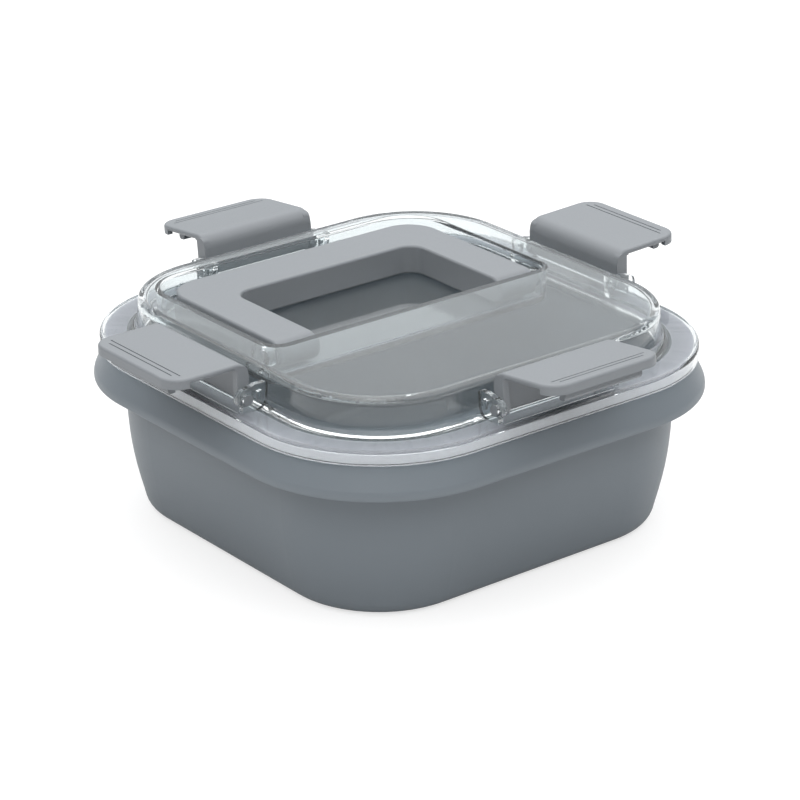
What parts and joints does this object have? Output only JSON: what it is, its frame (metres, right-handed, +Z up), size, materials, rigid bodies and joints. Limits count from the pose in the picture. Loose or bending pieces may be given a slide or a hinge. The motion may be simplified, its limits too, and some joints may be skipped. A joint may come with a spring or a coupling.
{
  "type": "plastic food container",
  "caption": "Square food container with a clear domed lid, a fold-down handle sunk in the lid and swing-down side clips.",
  "frame": {"origin": "middle of the underside of the tub's base", "axes": "+Z up, +Y towards the handle's bar at the back, +X towards the right-hand clip"},
  "size_m": [0.2784, 0.2785, 0.1077],
  "materials": {
    "tub_plastic": "satin moulded grey plastic",
    "clear_plastic": "polished clear plastic",
    "seal_silicone": "milky silicone",
    "handle_plastic": "fine matt moulded grey plastic",
    "clip_plastic": "fine matt moulded grey plastic"
  },
  "bodies": {
    "tub": {"tub": "tub_plastic"},
    "lid": {"lid": "clear_plastic", "seal_ring": "seal_silicone"},
    "handle": {"handle": "handle_plastic"},
    "clip_front": {"clip_front": "clip_plastic"},
    "clip_back": {"clip_back": "clip_plastic"},
    "clip_left": {"clip_left": "clip_plastic"},
    "clip_right": {"clip_right": "clip_plastic"}
  },
  "joints": [
    {"name": "lid_lift", "type": "slide", "parent": "tub", "child": "lid", "axis": [0, 0, 1], "range_m": [0, 0.06]},
    {"name": "handle_hinge", "type": "hinge", "parent": "lid", "child": "handle", "pos_m": [0, -0.0034, 0.0901], "axis": [1, 0, 0], "range_deg": [0, 90]},
    {"name": "clip_front_hinge", "type": "hinge", "parent": "lid", "child": "clip_front", "pos_m": [0, -0.1039, 0.088], "axis": [-1, 0, 0], "range_deg": [-96.8, 13.2]},
    {"name": "clip_back_hinge", "type": "hinge", "parent": "lid", "child": "clip_back", "pos_m": [0, 0.1039, 0.088], "axis": [1, 0, 0], "range_deg": [-84.1, 25.9]},
    {"name": "clip_left_hinge", "type": "hinge", "parent": "lid", "child": "clip_left", "pos_m": [-0.1039, 0, 0.088], "axis": [0, 1, 0], "range_deg": [-90, 20]},
    {"name": "clip_right_hinge", "type": "hinge", "parent": "lid", "child": "clip_right", "pos_m": [0.1039, 0, 0.088], "axis": [0, -1, 0], "range_deg": [-92, 18]}
  ]
}
